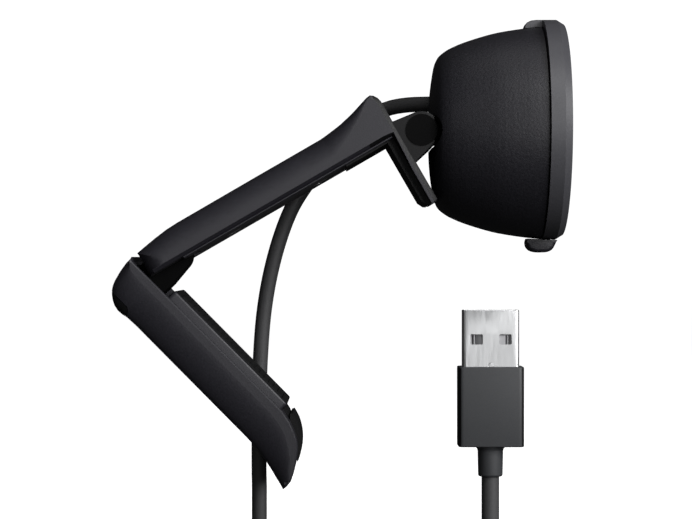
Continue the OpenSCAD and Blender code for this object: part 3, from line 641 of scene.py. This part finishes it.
leaf = lathe("cover_leaf", [(2.8, 43.85), (10.4, 43.85), (10.4, 44.6), (5.6, 44.6), (5.2, 44.42), (4.3, 44.38),
                            (4.0, 44.2), (3.2, 44.15), (2.8, 43.95)], about_lens, sides=72)
leaf_arm = prism("leaf_arm", [(-2.4, 16), (2.4, 16)] + arc(0, PIVOT_Z, 2.9, -20, 200, 16), across,
                 LEAF_BACK, LEAF_FRONT)
leaf_stem = prism("leaf_stem", [(-1.5, -19.8), (1.5, -19.8), (1.5, -2.8), (-1.5, -2.8)], across,
                  LEAF_BACK - STEM_LIFT, LEAF_FRONT + STEM_LIFT)
carve(leaf, "UNION", leaf_arm, leaf_stem)
pivot_hole = [(0.02, 40), (PIVOT_HOLE_R, 40), (PIVOT_HOLE_R, 48), (0.02, 48)]
carve(leaf, "DIFFERENCE", lathe("pivot_hole", pivot_hole, about_pivot, sides=32))
tab_line = flat_run([
    (38.95, -19.2), (38.65, -19.9), (38.6, -20.4), (38.75, -21.1), (39.25, -21.8), (40, -22.25), (41.2, -22.5),
    (43, -22.5), (44.1, -22.25), (44.9, -21.7), (45.4, -20.9), (45.75, -20.1), (46.0, -19.52)], 2)
tab_shape = [(x, z, TAB_ROUND * eased((TAB_ROUND_FROM - z) / TAB_ROUND_OVER), TAB_SOFT, 0, 0)
             for x, z in tab_line]
tab_shape += [(42.3, -19.48, 0, 0, 0, 0), (42.1, -19.3, 0, 0, 0, 0)]
tab = pillow("cover_tab", tab_shape, sideways, -TAB_HALF, TAB_HALF, [0.0, 0.08, 0.25, 0.5, 0.85, TAB_SOFT])
for piece, slot in ((leaf, "moulded_black"), (tab, "soft_charcoal")):
    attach(piece, "shutter")
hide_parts("shutter_blade")

# ---- the face: a dished plate with a trim ring round its window ----

MIC_Y, MIC_R = 19.5, 0.6
LED_Y, LED_R = -13.5, 0.85
face = lathe("face_dish", [
    (7.05, 45.25), (7.05, 45.95), (7.3, 46.2), (7.8, 46.38), (8.5, 46.38), (9.0, 46.2), (9.3, 46.02),
    (22.2, 46.12), (22.7, 46.3), (23.2, 46.3), (23.5, 46.1), (23.5, 45.25)], about_lens, sides=128)


def drill(name, y, r):
    """A round hole through the face, y sideways from the lens."""
    return lathe(name, [(0.02, 44), (r, 44), (r, 48), (0.02, 48)],
                 lambda a, b, x: about_lens(a + y, b, x), sides=24)


carve(face, "DIFFERENCE",
      drill("mic_a", MIC_Y, MIC_R), drill("mic_b", -MIC_Y, MIC_R), drill("led", LED_Y, LED_R))
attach(face, "head")
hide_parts("face_plate")

# ---- the plug: metal shell with its windows, tongue and grip ----

USB_HALF_W, USB_HALF_T = 6.0, 2.25
CAN_CORNER = 0.75
CAN_SUNK = 3
TIP_Z, GRIP_TOP_Z, GRIP_LOW_Z = -34.9, -46.9, -63.8
GRIP_HALF_W, GRIP_HALF_T, GRIP_CORNER = 6.95, 3.8, 1.15
GRIP_SOFT = 0.25
CAN_GAP = 0.02
DETENT_R, DETENT_UP = 0.55, 0.25
WINDOW_X, WINDOW_Z = 3.05, TIP_Z - 6.2
WINDOW_HALF_W, WINDOW_HALF_H, WINDOW_CORNER = 1.32, 1.08, 0.3


def in_plug(x, y, z):
    return Vector((PLUG.x + x * MM, PLUG.y + y * MM, z * MM))


def rounded_rect(half_x, half_y, r):
    line = []
    for sx, sy, a0 in ((1, 1, 0), (-1, 1, 90), (-1, -1, 180), (1, -1, 270)):
        line += arc(sx * (half_x - r), sy * (half_y - r), r, a0, a0 + 90, 6)
    return line


def can_ring(inset, z, r):
    return [in_plug(x, y, z) for x, y in rounded_rect(USB_HALF_W - inset, USB_HALF_T - inset, r)]


can = loft("plug_can", [
    can_ring(0, GRIP_TOP_Z - CAN_SUNK, CAN_CORNER), can_ring(0, TIP_Z - 0.12, CAN_CORNER),
    can_ring(0.05, TIP_Z - 0.03, 0.7), can_ring(0.12, TIP_Z, 0.65), can_ring(0.3, TIP_Z, 0.45),
    can_ring(0.35, TIP_Z - 0.08, 0.4), can_ring(0.35, GRIP_TOP_Z - CAN_SUNK, 0.4)], closed=True)


def in_plug_side(x, z, y):
    return in_plug(x, y, z)


windows = []
for s in (-1, 1):
    box = rounded_box(s * WINDOW_X - WINDOW_HALF_W, WINDOW_Z - WINDOW_HALF_H,
                      s * WINDOW_X + WINDOW_HALF_W, WINDOW_Z + WINDOW_HALF_H, WINDOW_CORNER, 0, 0)
    windows.append(prism(f"window_{s}", [(q[0], q[1]) for q in box], in_plug_side, -3, 3))
groove = [(DETENT_R + 0.09 * math.cos(math.radians(a)), -USB_HALF_T + 0.07 * math.sin(math.radians(a)))
          for a in range(0, 360, 45)]
detent = lathe("detent", groove, lambda x, z, y: in_plug(x, y, GRIP_TOP_Z + DETENT_UP + z), sides=40)
carve(can, "DIFFERENCE", *windows, detent)
half_tongue = [(5.6, -0.1), (5.6, -1.6), (4.05, -1.6), (4.05, -0.6), (3.66, -0.6), (3.66, -1.85), (3.4, -1.85),
               (3.4, -1.1), (3.08, -1.1), (3.08, -1.85)]
tongue = prism("plug_core", half_tongue + [(-x, y) for x, y in reversed(half_tongue)], in_plug,
               GRIP_TOP_Z - 2, TIP_Z - 0.5)
grip_line = [(x, y, 0.22, GRIP_SOFT, 0, 0) for x, y in rounded_rect(GRIP_HALF_W, GRIP_HALF_T, GRIP_CORNER)]
grip = pillow("plug_grip", grip_line, in_plug, GRIP_LOW_Z, GRIP_TOP_Z, [0.0, 0.05, 0.13, GRIP_SOFT])
can_room = rounded_rect(USB_HALF_W + CAN_GAP, USB_HALF_T + CAN_GAP, CAN_CORNER)
carve(grip, "DIFFERENCE", prism("can_room", can_room, in_plug, GRIP_TOP_Z - 2.9, GRIP_TOP_Z + 5))
for piece, node, slot in ((can, "plug_shell", "plug_steel"), (tongue, "plug_tongue", "tongue_grey"),
                          (grip, "plug_body", "plug_grey")):
    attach(piece, "clip")
    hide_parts(node)

# ---- stage, in metres ----

FLOOR_AT = FLOOR_Z - 0.0008
STAGE_R, STAGE_BEND, STAGE_TALL = 1.6, 0.6, 3.0


def dish():
    """A round floor that curves up into a wall all the way round."""
    line = [(0.02, 0.0), (0.2, 0.0), (0.8, 0.0), (STAGE_R, 0.0)]
    line += [(STAGE_R + STAGE_BEND * math.sin(math.radians(a)), STAGE_BEND * (1 - math.cos(math.radians(a))))
             for a in range(8, 91, 8)]
    line.append((STAGE_R + STAGE_BEND, STAGE_TALL))
    return lathe("studio_dish", line, lambda x, y, h: (x, y, FLOOR_AT + h), sides=96, closed=False)


floor = dish()
floor.visible_diffuse = False
floor.visible_glossy = False

# ---- materials ----

ROUGHNESS_SPREAD = 0.06
COAT_ROUGHNESS = 0.08
BROAD_TIMES = 60
NOISE_ROUGHNESS = 0.6
NOISE_LOW, NOISE_HIGH = 0.3, 0.7


def material(name, colour, roughness, *, metallic=0.0, specular=0.5, coat=0.0, alpha=1.0,
             grain=0.0002, bump=0.12, depth=0.00003, tint=0.25, blotch=0.0, stretch=None):
    """Moulded plastic, rubber or metal: a fine grain in the colour, the roughness and the surface.

    grain is its size and depth its height, in metres. tint and blotch are how much the colour varies,
    finely and broadly."""
    mat = bpy.data.materials.new(name)
    mat.use_nodes = True
    tree = mat.node_tree
    tree.nodes.clear()
    out = tree.nodes.new("ShaderNodeOutputMaterial")
    shader = tree.nodes.new("ShaderNodeBsdfPrincipled")
    tree.links.new(shader.outputs["BSDF"], out.inputs["Surface"])
    coord = tree.nodes.new("ShaderNodeTexCoord")
    place = coord.outputs["Object"]
    if stretch:
        mapping = tree.nodes.new("ShaderNodeMapping")
        mapping.inputs["Scale"].default_value = stretch
        tree.links.new(place, mapping.inputs["Vector"])
        place = mapping.outputs["Vector"]

    def noise(size, detail):
        node = tree.nodes.new("ShaderNodeTexNoise")
        node.inputs["Scale"].default_value = 1 / size
        node.inputs["Detail"].default_value = detail
        node.inputs["Roughness"].default_value = NOISE_ROUGHNESS
        tree.links.new(place, node.inputs["Vector"])
        return node.outputs["Fac"]

    def spread(value, low, high):
        node = tree.nodes.new("ShaderNodeMapRange")
        node.inputs["From Min"].default_value = NOISE_LOW
        node.inputs["From Max"].default_value = NOISE_HIGH
        node.inputs["To Min"].default_value = low
        node.inputs["To Max"].default_value = high
        tree.links.new(value, node.inputs["Value"])
        return node.outputs["Result"]

    fine = noise(grain, 2)
    broad = noise(grain * BROAD_TIMES, 3)
    mix = tree.nodes.new("ShaderNodeMix")
    mix.data_type = "RGBA"
    mix.inputs["A"].default_value = (*[c * (1 - tint) for c in colour], 1)
    mix.inputs["B"].default_value = (*[c * (1 + tint) for c in colour], 1)
    tree.links.new(spread(fine, 0, 1), mix.inputs["Factor"])
    tone = tree.nodes.new("ShaderNodeMix")
    tone.data_type = "RGBA"
    tone.blend_type = "MULTIPLY"
    tone.inputs["Factor"].default_value = 1.0
    tree.links.new(mix.outputs["Result"], tone.inputs["A"])
    shade = tree.nodes.new("ShaderNodeCombineColor")
    patch = spread(broad, 1 - blotch, 1.0)
    for channel in ("Red", "Green", "Blue"):
        tree.links.new(patch, shade.inputs[channel])
    tree.links.new(shade.outputs["Color"], tone.inputs["B"])
    tree.links.new(tone.outputs["Result"], shader.inputs["Base Color"])
    rough = spread(fine, roughness - ROUGHNESS_SPREAD, roughness + ROUGHNESS_SPREAD)
    tree.links.new(rough, shader.inputs["Roughness"])
    if bump:
        lumps = tree.nodes.new("ShaderNodeBump")
        lumps.inputs["Strength"].default_value = bump
        lumps.inputs["Distance"].default_value = depth
        tree.links.new(fine, lumps.inputs["Height"])
        tree.links.new(lumps.outputs["Normal"], shader.inputs["Normal"])
    shader.inputs["Metallic"].default_value = metallic
    shader.inputs["Specular IOR Level"].default_value = specular
    shader.inputs["Coat Weight"].default_value = coat
    shader.inputs["Coat Roughness"].default_value = COAT_ROUGHNESS
    shader.inputs["Alpha"].default_value = alpha
    return mat


LOOKS = {
    "soft_charcoal": dict(colour=(0.0108, 0.0103, 0.0142), roughness=0.50, grain=0.00055, bump=0.9,
                          depth=0.00007, tint=0.16, blotch=0.10),
    "arm_charcoal": dict(colour=(0.0165, 0.0158, 0.0212), roughness=0.50, specular=0.52, grain=0.00036,
                         bump=0.7, tint=0.16, blotch=0.10),
    # painted shade: a darker charcoal for faces of the clip and the grip that stand in shade
    "painted_shade_charcoal": dict(colour=(0.0045, 0.0045, 0.005), roughness=0.52, specular=0.22, grain=0.00036,
                         bump=0.5, tint=0.12),
    "ring_grey": dict(colour=(0.055, 0.0547, 0.0615), roughness=0.46, grain=0.00022, bump=0.22, tint=0.14,
                      blotch=0.06),
    "moulded_black": dict(colour=(0.0012, 0.0012, 0.0013), roughness=0.62, specular=0.06, grain=0.0003,
                          bump=0.2, blotch=0.08),
    "gloss_black": dict(colour=(0.006, 0.006, 0.007), roughness=0.14, coat=0.6, grain=0.0008, bump=0.02,
                        tint=0.1),
    "window_glass": dict(colour=(0.02, 0.022, 0.028), roughness=0.10, coat=0.5, alpha=0.30, grain=0.002,
                         bump=0.0, tint=0.02),
    "coated_glass": dict(colour=(0.10, 0.06, 0.20), roughness=0.08, specular=0.6, coat=1.0, grain=0.002,
                         bump=0.0, tint=0.3),
    "lens_black": dict(colour=(0.006, 0.006, 0.006), roughness=0.42, bump=0.15),
    "sensor_chip": dict(colour=(0.05, 0.06, 0.09), roughness=0.2, coat=0.4, grain=0.00005, bump=0.1,
                        tint=0.4),
    "board_green": dict(colour=(0.01, 0.08, 0.035), roughness=0.35, coat=0.3, grain=0.0006, bump=0.1,
                        tint=0.3),
    "screw_steel": dict(colour=(0.55, 0.55, 0.56), roughness=0.32, metallic=1.0, bump=0.1, tint=0.08,
                        blotch=0.1),
    "connector_ivory": dict(colour=(0.72, 0.70, 0.63), roughness=0.45, grain=0.0004, bump=0.1, tint=0.04),
    "lead_grey": dict(colour=(0.045, 0.045, 0.047), roughness=0.60, specular=0.40, grain=0.00024, bump=0.4,
                      tint=0.20, blotch=0.08),
    "brass_can": dict(colour=(0.62, 0.50, 0.26), roughness=0.35, metallic=1.0, bump=0.1, tint=0.1),
    "led_white": dict(colour=(0.78, 0.80, 0.83), roughness=0.25, coat=0.3, grain=0.0005, bump=0.05,
                      tint=0.03),
    "rubber_black": dict(colour=(0.0045, 0.0045, 0.005), roughness=0.66, specular=0.22, grain=0.00035,
                         bump=0.4, blotch=0.12),
    "plug_grey": dict(colour=(0.034, 0.0354, 0.0385), roughness=0.52, specular=0.4, grain=0.00018, bump=0.25,
                      tint=0.12, blotch=0.05),
    "tongue_grey": dict(colour=(0.26, 0.26, 0.27), roughness=0.5, bump=0.15, tint=0.08),
    "plug_steel": dict(colour=(0.50, 0.505, 0.512), roughness=0.36, metallic=0.9, grain=0.0005, bump=0.0,
                       tint=0.02, blotch=0.04, stretch=(1.0, 1.0, 0.12)),
    "contact_brass": dict(colour=(0.8, 0.6, 0.25), roughness=0.25, metallic=1.0, grain=0.0003, bump=0.05,
                          tint=0.06),
}
finish = {name: material(name, **look) for name, look in LOOKS.items()}


def paint(obj, mat):
    obj.data.materials.clear()
    obj.data.materials.append(mat)


def paint_where(obj, mat, test):
    """A second finish on the faces that pass the test."""
    obj.data.materials.append(mat)
    for face in obj.data.polygons:
        if test(face):
            face.material_index = len(obj.data.materials) - 1


slots = {part["node"]: part["material_slot"] for part in frame["record"]["subparts"]}
for name, obj in nodes.items():
    paint(obj, finish[slots[name]])
for look, pieces in {
        "lead_grey": (cord,), "plug_grey": (relief, grip), "arm_charcoal": (clip, base, leg, block),
        "rubber_black": (nodes["foot_pad"], heel, inlay, *ties), "moulded_black": (leaf,),
        "soft_charcoal": (tab,), "gloss_black": (face,), "plug_steel": (can,), "tongue_grey": (tongue,),
        "screw_steel": screws}.items():
    for piece in pieces:
        paint(piece, finish[look])

# painted shade: darker finishes stand for shade on the lip's front and the ears, which lie in the shade of the
# shell, and on the leg cover's inner face and the grip's sides, which turn away from the eye
TILT_PIN = (13.15, 6.0)
EAR_REACH = 9.0


def in_lip_or_ear_shade(face):
    off_x, off_z = face.center.x - TILT_PIN[0] * MM, face.center.z - TILT_PIN[1] * MM
    on_lip = face.normal.x > 0.25 and face.center.x > 0
    return on_lip or off_x ** 2 + off_z ** 2 < (EAR_REACH * MM) ** 2


# painted shade on the lip's front and the ears, in the shade of the shell
paint_where(clip, finish["painted_shade_charcoal"], in_lip_or_ear_shade)
# painted shade: the leg cover's faces that turn from its flat sides take the black rubber finish
paint_where(block, finish["rubber_black"], lambda face: abs(face.normal.y) < 0.5)
# painted shade on the grip's sides, which turn away from the eye
paint_where(grip, finish["painted_shade_charcoal"], lambda face: abs(face.normal.x) > 0.6)

BEVELS = {"leg_lug": 0.0003, "front_ring": 0.00025, "arm_pad": 0.0002, "lip_pad": 0.0003, "foot_pad": 0.0003}
for name, width in BEVELS.items():
    bevel(nodes[name], width)

STAGE_GLOW = 0.93
stage_white = material("stage_white", (0.80, 0.80, 0.805), 0.9, specular=0.0, grain=0.004, bump=0.0,
                       tint=0.01)
for node in stage_white.node_tree.nodes:
    if node.type == "BSDF_PRINCIPLED":
        node.inputs["Emission Color"].default_value = (1, 1, 1, 1)
        node.inputs["Emission Strength"].default_value = STAGE_GLOW
paint(floor, stage_white)

# ---- light ----

WORLD_GLOW = 0.02
world = bpy.data.worlds.new("studio")
bpy.context.scene.world = world
world.use_nodes = True
world.node_tree.nodes["Background"].inputs["Color"].default_value = (1, 1, 1, 1)
world.node_tree.nodes["Background"].inputs["Strength"].default_value = WORLD_GLOW
bpy.context.scene.view_settings.view_transform = "Standard"


def softbox(name, at, aim, size, power):
    """A rectangular lamp at one point, turned to another; size in metres and power in watts."""
    lamp = bpy.data.lights.new(name, "AREA")
    lamp.shape = "RECTANGLE"
    lamp.size, lamp.size_y = size
    lamp.energy = power
    obj = bpy.data.objects.new(name, lamp)
    obj.location = at
    obj.rotation_euler = (Vector(aim) - Vector(at)).to_track_quat("-Z", "Y").to_euler()
    bpy.context.scene.collection.objects.link(obj)


softbox("key", (0.62, -0.82, 0.28), (0, 0, -0.01), (0.45, 0.45), 8.4)
softbox("high", (0.22, -0.68, 0.80), (0, 0, -0.01), (0.45, 0.45), 3.1)
softbox("side", (0.85, -0.55, 0.40), (0, 0, -0.01), (0.45, 0.45), 5.8)
softbox("front", (0.05, -1.25, 0.02), (0, 0, -0.02), (0.5, 0.4), 1.6)
softbox("left", (-0.65, -0.75, 0.30), (-0.02, 0, -0.02), (0.3, 0.5), 0.4)
softbox("top", (-0.05, -0.05, 1.0), (0, 0, 0), (0.5, 0.4), 0.8)
